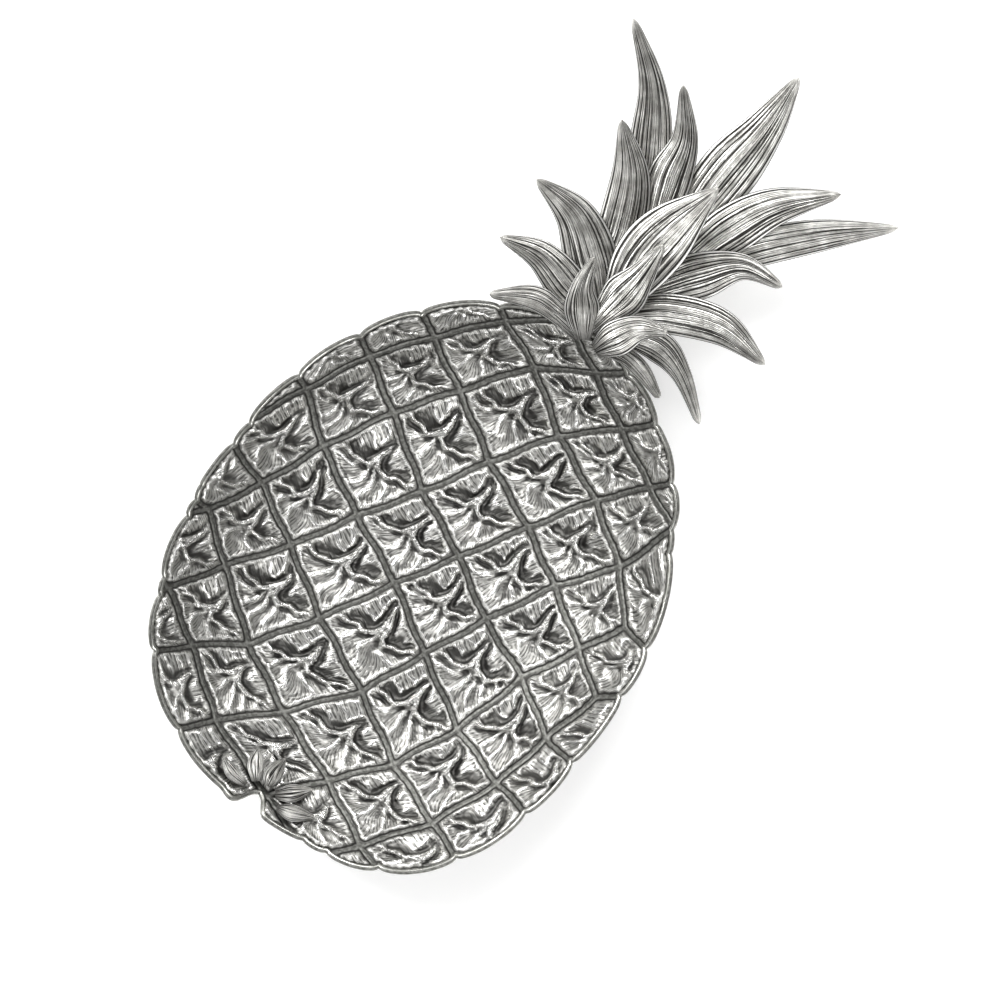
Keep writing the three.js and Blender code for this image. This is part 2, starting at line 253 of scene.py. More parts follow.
stalk_dip = stalk_dip - lobe_height * np.exp(-(((outline_x - lobe_x) / lobe_width) ** 2))
outline_radius = plain_radius + SCALLOP * (outline_swell - 0.5) - stalk_dip * (outline_y < 0)
outline_radius[1:-1] = np.convolve(outline_radius, [0.25, 0.5, 0.25], "same")[1:-1]


def rim_depth(x, y):
    """How far inside the scalloped outline a point lies, in mm."""
    return np.interp(np.arctan2(y, x), ANGLES, outline_radius) - np.hypot(x, y)


def channel_distance(corners, s, t):
    """Distances in mm from the nearer channel of each of the two slants, to its middle line."""
    a, b, c, d = corners
    s_way = (1 - t)[..., None] * (b - a) + t[..., None] * (c - d)
    t_way = (1 - s)[..., None] * (d - a) + s[..., None] * (c - b)
    area = np.abs(s_way[..., 0] * t_way[..., 1] - s_way[..., 1] * t_way[..., 0])
    from_s = np.minimum(s, 1 - s) * area / np.linalg.norm(t_way, axis=-1)
    from_t = np.minimum(t, 1 - t) * area / np.linalg.norm(s_way, axis=-1)
    return from_s, from_t


def rounded_least(*distances):
    """The least of the distances, with the corners rounded where two are alike."""
    total = sum(np.maximum(distance, 1e-3) ** -4.0 for distance in distances)
    return total ** -0.25


LIP_WIDTH = 2.2
CHANNEL_HALF = 1.0
EYE_HEIGHT = 2.2
SHOULDER = 2.3
HOLLOW_DEPTH = 3.3
HOLLOW_REACH = 3.2
FOLD_DEPTH = 2.2
CORD_HEIGHT = 1.4
SHARPENING = 0.45
RECESS_SPREAD = 45
CREVICE_SPREAD = 5
FULL_EYE = 31.0


def cusps(turns):
    """A row of sharp ridges with broad hollows between them: 1 on a ridge, 0 in a hollow."""
    return 1 - np.abs(np.sin(math.pi * turns)) ** 0.7


def spread(field, times):
    """The field smoothed along both ways of its grid."""
    for _ in range(times):
        padded = np.pad(field, 1, mode="edge")
        field = (padded[:-2, 1:-1] + padded[2:, 1:-1] + padded[1:-1, :-2] + padded[1:-1, 2:]
                 + 2 * padded[1:-1, 1:-1]) / 6
    return field


def carve_inside(column, row, corners, s, t, x, y):
    """Height in mm of an eye's carving above the channels, the three values its colour reads
    (distance from the channel, depth of a recess, sharpness of a crevice) for the channel floor,
    oxide, painted shade in the hollows and painted highlights on the ridges, and the count of
    chased lines up to each point."""
    chance = np.random.default_rng(1000 + 37 * column + 101 * row)
    lean, bend, tip, wide_left, wide_right, dip, turn, folds = chance.uniform(
        (-0.04, 0.2, 0.34, 0.085, 0.07, 0.08, 0.0, 1.35), (0.08, 0.55, 0.48, 0.13, 0.10, 0.16, 1.0, 1.8))

    from_s, from_t = channel_distance(corners, s, t)
    edge = rounded_least(from_s, from_t)
    rim = rim_depth(x, y) - LIP_WIDTH
    inward = rounded_least(from_s, from_t, np.maximum(rim + 0.9, 0))
    ragged = 0.22 * np.sin(1.5 * x + 0.7 * y + 6 * turn) + 0.2 * np.sin(1.7 * y - 0.9 * x + 9 * turn)
    inward = inward + ragged * ease(0.5, 1.2, inward)
    half = 0.5 * np.linalg.norm(corners[2] - corners[0])
    sides = np.linalg.norm(corners - np.roll(corners, 1, axis=0), axis=1)
    size = np.clip(sides.min() / FULL_EYE, 0.4, 1) * np.interp(wall_shape(x, y)[1], [1, 1.9], [1, 0.45])

    # The spine's two lips: "above" is how far in mm a point lies over them.
    across, up = s + t - 1, t - s
    across = across - lean - bend * np.maximum(up - 0.03, 0) + 0.035 * np.sin(9 * up + 6 * turn)
    side = np.abs(across)
    left = ease(0.02, -0.02, across)

    def lip_at(side):
        on_left = tip * np.exp(-((side / wide_left) ** 1.4)) - 0.03 + 0.24 * side ** 1.3
        on_right = tip * np.exp(-((side / wide_right) ** 1.3)) - dip + dip * side ** 2
        return left * on_left + (1 - left) * on_right

    lip = lip_at(side) + 0.02 * np.sin(17 * across + 6 * turn)
    steep = np.sqrt(1 + ((lip_at(side + 0.02) - lip_at(side)) / 0.02) ** 2)
    above = (up - lip) / steep * half
    cord = CORD_HEIGHT * np.exp(-((above / 0.9) ** 2)) - 0.8 * np.exp(-(((above + 2.1) / 0.8) ** 2))
    cord = cord * (0.55 + 0.45 * ease(0.95, 0.6, side))

    # Below the lips, folds and small folds fan out from the spine's foot.
    fan_x, fan_y = across, up - 0.12
    fan = np.arctan2(fan_x, -fan_y)
    reach = np.hypot(fan_x, fan_y) * half
    bent_fan = fan + 0.16 * np.sin(2.3 * fan + 6 * turn) + 0.10 * np.sin(reach / 2.6 + 9 * turn)
    fold_turns = folds * bent_fan + turn
    fold = cusps(fold_turns)
    small_fold = cusps(2.6 * fold_turns + 0.1 * reach)
    fold_depth = FOLD_DEPTH * ease(1.5, 5.5, reach) * ease(0.6, 4.5, inward)
    below = 1.1 * np.exp(-((reach / 4.5) ** 2)) - fold_depth * (1 - fold)
    below = below + 0.45 * (small_fold - 0.5) * ease(2, 6, reach)

    # Above them are the two hollows, and short waves run in from the channels.
    hollow_share = np.maximum(above, 0) / HOLLOW_REACH
    hollow = -HOLLOW_DEPTH * hollow_share * np.exp(1 - hollow_share) * (1 - 0.6 * ease(0.55, 0.9, side))
    along = np.where(across < 0, t, s)
    wave_turns = 4.6 * along + 0.12 * np.sin(inward * 0.9 + 6 * turn) + turn
    waves = 0.9 * (cusps(wave_turns) - 0.6) + 0.3 * (cusps(2.3 * wave_turns) - 0.5)
    upper = hollow + waves * ease(1.2, 3.5, above) * ease(0.5, 3, inward)

    over = ease(-0.3, 0.3, above)
    carving = (1 - over) * below + over * upper + cord
    shoulder = ease(CHANNEL_HALF, CHANNEL_HALF + SHOULDER, inward) ** 0.8
    crease = -0.3 * np.exp(-(((inward - CHANNEL_HALF) / 0.4) ** 2))
    inner = ease(1.3, 3.6, inward)
    height = EYE_HEIGHT * shoulder + crease + inner * carving * size
    height = height * ease(-0.9, 0.4, rim)
    height = height + SHARPENING * inner * (height - spread(height, 4))
    finish = np.stack([np.minimum(edge, inward), spread(height, RECESS_SPREAD) - height,
                       spread(height, CREVICE_SPREAD) - height])
    lines = np.where(above < 0, fan * 5.5 + 0.04 * reach, 9 * along)
    return height, finish, lines


OUTSIDE_LIP = 0.9


def carve_outside(column, row, corners, s, t, x, y):
    """The plainer eyes of the underside: how deep the groove lies, the same three values and
    the count of lines."""
    from_s, from_t = channel_distance(corners, s, t)
    rim = rim_depth(x, y) - OUTSIDE_LIP
    edge = rounded_least(from_s, from_t, np.maximum(rim + 1.5, 0))
    fan = np.arctan2(s + t - 1, s - t)
    reach = np.hypot(s + t - 1, t - s)
    folds = 0.12 * np.sin(9 * fan + column + 2 * row) * ease(0.1, 0.5, reach)
    swell = ease(0.6, 6, edge)
    groove = GROOVE_OUTSIDE * (1 - swell) + folds * swell * ease(3, 6, edge)
    return groove, np.stack([edge, 0.5 * (1 - swell), 0.2 * (1 - swell)]), fan * 6.5


def eye_steps(count, near_edge):
    """Steps from 0 to 1, set close together near the channels."""
    even = np.linspace(-1, 1, count + 1)
    bent = np.sign(even) * (1 - (1 - np.abs(even)) ** near_edge)
    return 0.5 + 0.5 * bent


def build_sheet(steps, cut_depth, carve, upward):
    """One face of the dish, cut off inside the outline: its places, the values at each place that
    its colour reads for oxide, painted shade and painted highlights, the faces, the line count at
    each face's corners, and its edge in order of angle."""
    count = len(steps) - 1
    numbers, cuts = {}, {}
    places, values, faces, face_lines = [], [], [], []
    s_grid, t_grid = np.meshgrid(steps, steps, indexing="ij")
    for column, row, corners in eyes:
        x, y = eye_point(corners, s_grid, t_grid)
        depth = rim_depth(x, y) - cut_depth
        if depth.max() <= 0:
            continue
        rise, finish, lines = carve(column, row, corners, s_grid, t_grid, x, y)
        wall, slope = wall_shape(x, y)
        if upward:
            z = wall + (WALL_THICKNESS + rise) * slope
        else:
            z = np.maximum(0, wall + rise - REST_FLAT_DEPTH)

        # Eyes that meet share the places on their common channel, so a place is its own key.
        keys, spot = {}, {}
        for p in np.ndindex(count + 1, count + 1):
            keys[p] = (round(x[p], 3), round(y[p], 3))
            if depth[p] > 0:
                if keys[p] not in numbers:
                    numbers[keys[p]] = len(places)
                    places.append((x[p], y[p], z[p]))
                    values.append(finish[:, p[0], p[1]])
                spot[p] = numbers[keys[p]]

        for a, b in np.ndindex(count, count):
            ring = [(a, b), (a + 1, b), (a + 1, b + 1), (a, b + 1)]
            face, face_line = [], []
            for p, q in zip(ring, ring[1:] + ring[:1]):
                if p in spot:
                    face.append(spot[p])
                    face_line.append(lines[p])
                if (p in spot) != (q in spot):
                    cut = tuple(sorted([keys[p], keys[q]]))
                    if cut not in cuts:
                        share = min(max(depth[p] / (depth[p] - depth[q]), 0.02), 0.98)
                        cut_x = x[p] + share * (x[q] - x[p])
                        cut_y = y[p] + share * (y[q] - y[p])
                        cut_wall, cut_slope = wall_shape(cut_x, cut_y)
                        if upward:
                            cut_z = cut_wall + WALL_THICKNESS * cut_slope
                        else:
                            cut_z = max(0, cut_wall + GROOVE_OUTSIDE - REST_FLAT_DEPTH)
                        cuts[cut] = len(places)
                        places.append((cut_x, cut_y, cut_z))
                        values.append(np.zeros(3))
                    face.append(cuts[cut])
                    face_line.append(lines[p])
            if len(face) > 2:
                faces.append(face)
                face_lines.append(face_line)
    edge_loop = sorted(cuts.values(), key=lambda v: math.atan2(places[v][1], places[v][0]))
    if not upward:
        faces = [face[::-1] for face in faces]
        face_lines = [face_line[::-1] for face_line in face_lines]
    return places, values, faces, face_lines, edge_loop


def zip_loops(places, first, second, outward):
    """Triangles between two loops that both run round the dish in order of angle."""
    def angle(loop, k):
        return math.atan2(places[loop[k]][1], places[loop[k]][0]) if k < len(loop) else math.inf

    i = j = 0
    triangles = []
    while i < len(first) or j < len(second):
        here, there = first[i % len(first)], second[j % len(second)]
        if angle(first, i) <= angle(second, j):
            i += 1
            after = first[i % len(first)]
        else:
            j += 1
            after = second[j % len(second)]
        triangles.append([here, there, after] if outward else [here, after, there])
    return triangles


# How many steps an eye has on each face, and how much closer they lie near the channels.
INSIDE_STEPS = (40, 1.35)
OUTSIDE_STEPS = (16, 1.3)
inside = build_sheet(eye_steps(*INSIDE_STEPS), LIP_WIDTH, carve_inside, True)
outside = build_sheet(eye_steps(*OUTSIDE_STEPS), OUTSIDE_LIP, carve_outside, False)
under = len(inside[0])
places = inside[0] + outside[0]
values = inside[1] + outside[1]
faces = inside[2] + [[v + under for v in face] for face in outside[2]]
face_lines = inside[3] + outside[3]
inner_loop = inside[4]
outer_loop = [v + under for v in outside[4]]

# The lip's section from the inside round to the underside: depth inside the outline, which
# face it is measured from, and how far it stands off that face.
LIP_SECTION = [
    (2.15, "in", 0.05), (1.8, "in", 0.5), (1.3, "in", 0.75), (0.75, "in", 0.6), (0.3, "in", 0.1),
    (0.0, "in", -0.9), (0.05, "out", 1.0), (0.35, "out", 0.3), (0.8, "out", 0.02),
]
LIP_STEPS = 900
LIP_VALUES = (-1.0, 0.0, 0.0)
lip_angles = np.linspace(-math.pi, math.pi, LIP_STEPS, endpoint=False) + 0.0003
lip_rings = []
for depth, side, stand in LIP_SECTION:
    radius = np.interp(lip_angles, ANGLES, outline_radius) - depth
    x, y = radius * np.cos(lip_angles), radius * np.sin(lip_angles)
    wall, slope = wall_shape(x, y)
    if side == "in":
        z = wall + (WALL_THICKNESS + stand) * slope
    else:
        z = wall + GROOVE_OUTSIDE - REST_FLAT_DEPTH + stand
    lip_rings.append(list(range(len(places), len(places) + LIP_STEPS)))
    places.extend(zip(x, y, z))
    values.extend([LIP_VALUES] * LIP_STEPS)
lip_faces = []
for ring, following in zip(lip_rings, lip_rings[1:]):
    for k in range(LIP_STEPS):
        n = (k + 1) % LIP_STEPS
        lip_faces.append([ring[k], following[k], following[n], ring[n]])
lip_faces.extend(zip_loops(places, inner_loop, lip_rings[0], True))
lip_faces.extend(zip_loops(places, outer_loop, lip_rings[-1], False))
faces.extend(lip_faces)
face_lines.extend([[0.0] * len(face) for face in lip_faces])


def mesh_object(name, places, faces):
    """A smooth-shaded object from places in mm."""
    mesh = bpy.data.meshes.new(name)
    mesh.from_pydata([tuple(float(c) * MM for c in place) for place in places], [], faces)
    mesh.polygons.foreach_set("use_smooth", [True] * len(mesh.polygons))
    piece = bpy.data.objects.new(name, mesh)
    bpy.context.scene.collection.objects.link(piece)
    return piece


def give_uv(piece, name, face_pairs):
    """A UV map from a pair of numbers for each corner of each face."""
    layer = piece.data.uv_layers.new(name=name)
    flat = [float(c) for pairs in face_pairs for pair in pairs for c in pair]
    layer.data.foreach_set("uv", flat)


def give_value(piece, name, numbers):
    """An attribute with one number for each place."""
    layer = piece.data.attributes.new(name, "FLOAT", "POINT")
    layer.data.foreach_set("value", [float(n) for n in numbers])


dish = mesh_object("silver_dish", places, faces)
give_uv(dish, "lines", [[(line, 0.0) for line in face_line] for face_line in face_lines])
for name, numbers in zip(("channel", "recess", "crevice"), zip(*values)):
    give_value(dish, name, numbers)
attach(dish, "root")
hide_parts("dish")


def new_material(name):
    material = bpy.data.materials.new(name)
    material.use_nodes = True
    tree = material.node_tree
    return material, tree.nodes, tree.links, tree.nodes["Principled BSDF"]


def math_node(nodes, links, operation, a, b=None):
    """One step of arithmetic on one or two values, each a socket or a plain number."""
    node = nodes.new("ShaderNodeMath")
    node.operation = operation
    for socket, value in zip(node.inputs, (a, b)):
        if isinstance(value, (int, float)):
            socket.default_value = value
        elif value is not None:
            links.new(value, socket)
    return node.outputs[0]


def ramp_node(nodes, links, value, low, high, to_low=0.0, to_high=1.0):
    """A smooth step from one value at low to another at high."""
    node = nodes.new("ShaderNodeMapRange")
    node.interpolation_type = "SMOOTHSTEP"
    links.new(value, node.inputs["Value"])
    node.inputs["From Min"].default_value = low
    node.inputs["From Max"].default_value = high
    node.inputs["To Min"].default_value = to_low
    node.inputs["To Max"].default_value = to_high
    return node.outputs["Result"]


def noise_node(nodes, links, scale, detail):
    where = nodes.new("ShaderNodeTexCoord")
    noise = nodes.new("ShaderNodeTexNoise")
    noise.inputs["Scale"].default_value = scale
    noise.inputs["Detail"].default_value = detail
    links.new(where.outputs["Object"], noise.inputs["Vector"])
    return noise.outputs["Fac"]


def attribute_node(nodes, name):
    node = nodes.new("ShaderNodeAttribute")
    node.attribute_name = name
    return node.outputs["Fac"]


def mix_node(nodes, links, share, a, b):
    """A blend of two colours, each a socket or a plain colour."""
    node = nodes.new("ShaderNodeMix")
    node.data_type = "RGBA"
    links.new(share, node.inputs["Factor"])
    sockets = [socket for socket in node.inputs if socket.type == "RGBA"]
    for socket, value in zip(sockets, (a, b)):
        if isinstance(value, tuple):
            socket.default_value = (*value, 1)
        else:
            links.new(value, socket)
    return [socket for socket in node.outputs if socket.type == "RGBA"][0]


def darkest(nodes, links, masks):
    """The greatest of several masks, each times its strength."""
    dark = None
    for mask, strength in masks:
        mask = math_node(nodes, links, "MULTIPLY", mask, strength)
        dark = mask if dark is None else math_node(nodes, links, "MAXIMUM", dark, mask)
    return dark


# Chased and oxidised silver: rows of fine cut lines with dark metal left in them. It takes
# a count of lines that rises across the surface, and gives their height and their darkness.
chasing = bpy.data.node_groups.new("chased lines", "ShaderNodeTree")
for name in ("Count", "Waver", "Gaps", "Mask"):
    chasing.interface.new_socket(name, in_out="INPUT", socket_type="NodeSocketFloat")
for name in ("Height", "Dark"):
    chasing.interface.new_socket(name, in_out="OUTPUT", socket_type="NodeSocketFloat")
nodes, links = chasing.nodes, chasing.links
given = nodes.new("NodeGroupInput")
result = nodes.new("NodeGroupOutput")
drift = math_node(nodes, links, "MULTIPLY", noise_node(nodes, links, 260, 2), given.outputs["Waver"])
turns = math_node(nodes, links, "ADD", given.outputs["Count"], drift)
ridge = math_node(nodes, links, "PINGPONG", turns, 0.5)
missing = ramp_node(nodes, links, noise_node(nodes, links, 420, 4), 0.30, 0.56, 1.0, 0.0)
missing = math_node(nodes, links, "MULTIPLY", missing, given.outputs["Gaps"])
patchy = math_node(nodes, links, "SUBTRACT", 1.0, missing)
cut = ramp_node(nodes, links, ridge, 0.03, 0.32, 1.0, 0.0)
cut = math_node(nodes, links, "MULTIPLY", cut, patchy)
cut = math_node(nodes, links, "MULTIPLY", cut, given.outputs["Mask"])
height = math_node(nodes, links, "SUBTRACT", 1.0, cut)
links.new(height, result.inputs["Height"])
links.new(cut, result.inputs["Dark"])


def chased_lines(nodes, links, count, waver, gaps, mask):
    """The height and darkness of one row of chased lines."""
    lines = nodes.new("ShaderNodeGroup")
    lines.node_tree = chasing
    lines.inputs["Waver"].default_value = waver
    lines.inputs["Gaps"].default_value = gaps
    links.new(count, lines.inputs["Count"])
    links.new(mask, lines.inputs["Mask"])
    return lines.outputs["Height"], lines.outputs["Dark"]


# HIGHLIGHT_SILVER is a painted highlight, laid on the eyes' ridges and along the leaves' borders.
HIGHLIGHT_SILVER = (0.92, 0.915, 0.89)
PLAIN_SILVER = (0.54, 0.535, 0.51)
DARK_SILVER = (0.025, 0.024, 0.022)
CHANNEL_SILVER = (0.27, 0.27, 0.255)
CHANNEL_GRAIN = (0.12, 0.12, 0.11)

# The eyes: a painted highlight on the ridges, dark in the broad hollows from their oxide and from painted
# shade, dark oxide in creases and cut lines, grainy in the channels.
eye_silver, nodes, links, shader = new_material("eye silver")
channel = attribute_node(nodes, "channel")
recess = attribute_node(nodes, "recess")
crevice = attribute_node(nodes, "crevice")
lines_uv = nodes.new("ShaderNodeUVMap")
lines_uv.uv_map = "lines"
line_parts = nodes.new("ShaderNodeSeparateXYZ")
links.new(lines_uv.outputs["UV"], line_parts.inputs[0])
count = line_parts.outputs["X"]
off_channel = ramp_node(nodes, links, channel, 1.0, 1.6)
off_ridge = ramp_node(nodes, links, crevice, -0.35, -0.1)
line_mask = math_node(nodes, links, "MULTIPLY", off_channel, off_ridge)
wide_count = math_node(nodes, links, "MULTIPLY", count, 1.9)
wide_height, wide_dark = chased_lines(nodes, links, wide_count, 0.8, 0.85, line_mask)
fine_count = math_node(nodes, links, "MULTIPLY", count, 4.3)
fine_height, fine_dark = chased_lines(nodes, links, fine_count, 1.5, 0.9, off_channel)
crease = math_node(nodes, links, "MULTIPLY", ramp_node(nodes, links, channel, 0.55, 0.95),
                   ramp_node(nodes, links, channel, 1.2, 2.0, 1.0, 0.0))
# The broad hollows are darkened both by their oxide and by painted shade.
recess_oxide_and_shade = math_node(nodes, links, "MULTIPLY", ramp_node(nodes, links, recess, 0.12, 1.05), off_channel)
in_crevice = math_node(nodes, links, "MULTIPLY", ramp_node(nodes, links, crevice, 0.12, 0.6), off_channel)
dark = darkest(nodes, links, [(recess_oxide_and_shade, 0.88), (in_crevice, 0.85), (wide_dark, 0.88),
                              (fine_dark, 0.72), (crease, 0.95)])
on_floor = ramp_node(nodes, links, channel, 0.7, 1.0, 1.0, 0.0)
# The ridges get a painted highlight, broken up near the channels.
ridge_highlight = ramp_node(nodes, links, crevice, -0.35, 0.0, 1.0, 0.0)
broken = ramp_node(nodes, links, noise_node(nodes, links, 700, 3), 0.4, 0.6, 0.35, 1.0)
near_edge = ramp_node(nodes, links, channel, 1.9, 3.4, 1.0, 0.0)
edge_gap = math_node(nodes, links, "MULTIPLY", broken, near_edge)
ridge_highlight = math_node(nodes, links, "MULTIPLY", ridge_highlight, math_node(nodes, links, "SUBTRACT", 1.0, edge_gap))
base = mix_node(nodes, links, ridge_highlight, PLAIN_SILVER, HIGHLIGHT_SILVER)
grained = mix_node(nodes, links, broken, CHANNEL_SILVER, CHANNEL_GRAIN)
base = mix_node(nodes, links, on_floor, base, grained)
links.new(mix_node(nodes, links, dark, base, DARK_SILVER), shader.inputs["Base Color"])
shader.inputs["Metallic"].default_value = 1.0
rough = ramp_node(nodes, links, ridge_highlight, 0.0, 1.0, 0.4, 0.26)
rough = math_node(nodes, links, "ADD", rough, math_node(nodes, links, "MULTIPLY", near_edge, 0.15))
links.new(rough, shader.inputs["Roughness"])
heights = math_node(nodes, links, "ADD", wide_height, math_node(nodes, links, "MULTIPLY", fine_height, 0.6))
bump = nodes.new("ShaderNodeBump")
bump.inputs["Strength"].default_value = 0.8
bump.inputs["Distance"].default_value = 0.00013
links.new(heights, bump.inputs["Height"])
links.new(bump.outputs["Normal"], shader.inputs["Normal"])
dish.data.materials.append(eye_silver)

# ---------------------------------------------------------------------------------------
# Rolled rim. A smooth drawn silver wire, worn and a little tarnished, is soldered on the
# lip and follows every scallop of the outline and the notch at the stalk end.
WIRE_RADIUS = 1.25
WIRE_INSET = 1.2
WIRE_SUNK = 0.25
WIRE_STEPS = 720
WIRE_SIDES = 12

wire_angles = np.linspace(-math.pi, math.pi, WIRE_STEPS, endpoint=False)
wire_reach = np.interp(wire_angles, ANGLES, outline_radius) - WIRE_INSET
wire_x, wire_y = wire_reach * np.cos(wire_angles), wire_reach * np.sin(wire_angles)
wire_wall, wire_slope = wall_shape(wire_x, wire_y)
wire_z = wire_wall + WALL_THICKNESS * wire_slope - WIRE_SUNK
wire_path = bpy.data.meshes.new("rim_wire")
wire_path.from_pydata((np.stack([wire_x, wire_y, wire_z], -1) * MM).tolist(),
                      [(k, (k + 1) % WIRE_STEPS) for k in range(WIRE_STEPS)], [])
wire = bpy.data.objects.new("rim_wire", wire_path)
bpy.context.scene.collection.objects.link(wire)

RUBBED_SILVER = (0.56, 0.56, 0.53)
TARNISHED_SILVER = (0.24, 0.24, 0.22)
rim_silver, nodes, links, shader = new_material("rim silver")
tarnish = ramp_node(nodes, links, noise_node(nodes, links, 150, 4), 0.3, 0.7)
pits = ramp_node(nodes, links, noise_node(nodes, links, 1300, 2), 0.55, 0.75, 0.0, 0.5)
worn = mix_node(nodes, links, tarnish, RUBBED_SILVER, TARNISHED_SILVER)
links.new(mix_node(nodes, links, pits, worn, DARK_SILVER), shader.inputs["Base Color"])
shader.inputs["Metallic"].default_value = 1.0
links.new(ramp_node(nodes, links, tarnish, 0.0, 1.0, 0.24, 0.38), shader.inputs["Roughness"])

wire_tree = bpy.data.node_groups.new("wire along a path", "GeometryNodeTree")
wire_tree.interface.new_socket("Path", in_out="INPUT", socket_type="NodeSocketGeometry")
radius_socket = wire_tree.interface.new_socket("Wire Radius", in_out="INPUT", socket_type="NodeSocketFloat")
sides_socket = wire_tree.interface.new_socket("Wire Sides", in_out="INPUT", socket_type="NodeSocketInt")
wire_tree.interface.new_socket("Wire", in_out="OUTPUT", socket_type="NodeSocketGeometry")
nodes, links = wire_tree.nodes, wire_tree.links
given = nodes.new("NodeGroupInput")
result = nodes.new("NodeGroupOutput")
to_curve = nodes.new("GeometryNodeMeshToCurve")
section = nodes.new("GeometryNodeCurvePrimitiveCircle")
sweep = nodes.new("GeometryNodeCurveToMesh")
smooth = nodes.new("GeometryNodeSetShadeSmooth")
realize = nodes.new("GeometryNodeRealizeInstances")
finish = nodes.new("GeometryNodeSetMaterial")
finish.inputs["Material"].default_value = rim_silver
links.new(given.outputs["Path"], to_curve.inputs["Mesh"])
links.new(given.outputs["Wire Radius"], section.inputs["Radius"])
links.new(given.outputs["Wire Sides"], section.inputs["Resolution"])
links.new(to_curve.outputs["Curve"], sweep.inputs["Curve"])
links.new(section.outputs["Curve"], sweep.inputs["Profile Curve"])
links.new(sweep.outputs["Mesh"], smooth.inputs["Geometry"])
links.new(smooth.outputs["Geometry"], realize.inputs["Geometry"])
links.new(realize.outputs["Geometry"], finish.inputs["Geometry"])
links.new(finish.outputs["Geometry"], result.inputs["Wire"])
sweep_wire = wire.modifiers.new("sweep", "NODES")
sweep_wire.node_group = wire_tree
sweep_wire[radius_socket.identifier] = WIRE_RADIUS * MM
sweep_wire[sides_socket.identifier] = WIRE_SIDES
swept = bpy.data.meshes.new_from_object(wire.evaluated_get(bpy.context.evaluated_depsgraph_get()))
wire.modifiers.clear()
wire.data = swept
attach(wire, "root")
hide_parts("dish")

# ---------------------------------------------------------------------------------------
# Crown leaves. Each is a cast blade, chased along its length on the front and plain behind,
# curled up at the tip and soldered over its neighbours in layers.
LAYER_PITCH = 2.6
LOWEST_LAYER = 27.6
SWEEP_START = 165.0
SWEEP_LENGTH = 110.0
SWEEP_RISE = 10.0

# Each leaf's middle line from root to tip, half widths along it, layer, how far its tip curls
# up and how far its root dips down, all in mm.
LEAVES = {
    "back_centre": ([(3, 175), (4, 219), (6, 248), (5, 275)], [5.3, 11.5, 8, 0.9], 0, 6, 0),
    "back_left": ([(-19, 192), (-31, 214), (-46, 235), (-69, 253)], [6.2, 8.4, 5.3, 1.3], 0, 4, 0),
    "back_right": ([(23, 188), (36, 206), (55, 226), (79, 247)], [6.2, 7.5, 6.2, 1.3], 0, 4, 0),
    "inner_left": ([(-8, 186), (-15, 206), (-20, 224), (-34, 242)], [6.2, 8.8, 5.3, 0.9], 1, 6, 0),
    "inner_right": ([(14, 183), (20, 203), (30, 223), (50, 244)], [6.6, 9.7, 7.5, 0.9], 1, 6, 0),
    "high_left": ([(-15, 159), (-20, 177), (-30, 197), (-47, 214)], [7.1, 9.3, 7.6, 0.9], 2, 6, 0),
    "high_right": ([(10, 164), (21, 179), (34, 193), (53, 196)], [7.1, 9.3, 5.3, 0.9], 2, 6, 0),
    "middle_left": ([(-8, 144), (-21, 156), (-39, 168), (-62, 171)], [6.2, 10.6, 8, 0.9], 3, 4, 0),
    "middle_right": ([(3, 144), (19, 157), (42, 166), (67, 164)], [5.3, 8, 7.1, 0.9], 3, 4, 0),
    "low_left": ([(-8, 137), (-23, 141), (-41, 145), (-60, 141)], [3.5, 8, 6.2, 0.9], 4, 3, 0),
    "low_right": ([(8, 137), (24, 143), (40, 139), (59, 126)], [3, 6.4, 4, 0.9], 4, 3, 0),
    "rim_left": ([(-6, 127), (-20, 129), (-33, 128), (-49, 118)], [3.5, 4.4, 4.9, 0.9], 5, 1, 0),
    "rim_right": ([(3, 127), (14, 131), (25, 130), (38, 125)], [2.7, 3.5, 3.5, 0.9], 5, 1, 0),
    "front_tall": ([(-1, 146), (-3, 168), (-1, 188), (5, 214)], [6.2, 11.9, 11.1, 0.9], 6, 8, 0),
    "front_curl": ([(-3, 140), (-1, 152), (0, 164), (0, 180)], [5.3, 8.8, 5.7, 0.9], 7, 5, 0),
    "front_left": ([(-4, 126), (-12, 136), (-18, 145), (-21, 158)], [3, 7.1, 4.4, 0.9], 8, 5, 5),
    "front_right": ([(3, 125), (7, 134), (13, 144), (24, 150)], [3, 7.1, 5.3, 0.9], 8, 5, 5),
}

# How far each layer's leaves run on under the layer above, as a share of their first stretch.
ROOT_TUCK = {0: 0.35, 1: 0.4, 2: 0.6, 3: 0.5, 4: 0.35, 5: 0.0, 6: 0.6, 7: 0.7, 8: 0.0}
ROOT_NARROWING = 0.75
ROOT_SINK = 2.2

LEAST_REACH = 0.5
TIP_START = 0.96
UNDER_COLUMNS = 8


def smooth_through(points, shares):
    """Points on a Catmull-Rom curve through the given ones, at shares from 0 to 1."""
    points = np.array(points, float)
    if points.ndim == 1:
        points = points[:, None]
    padded = np.vstack([2 * points[0] - points[1], points, 2 * points[-1] - points[-2]])
    spot = np.clip(shares, 0, 1) * (len(points) - 1)
    k = np.minimum(spot.astype(int), len(points) - 2)
    f = (spot - k)[:, None]
    p0, p1, p2, p3 = padded[k], padded[k + 1], padded[k + 2], padded[k + 3]
    return 0.5 * (2 * p1 + (p2 - p0) * f + (2 * p0 - 5 * p1 + 4 * p2 - p3) * f ** 2
                  + (3 * p1 - p0 - 3 * p2 + p3) * f ** 3)


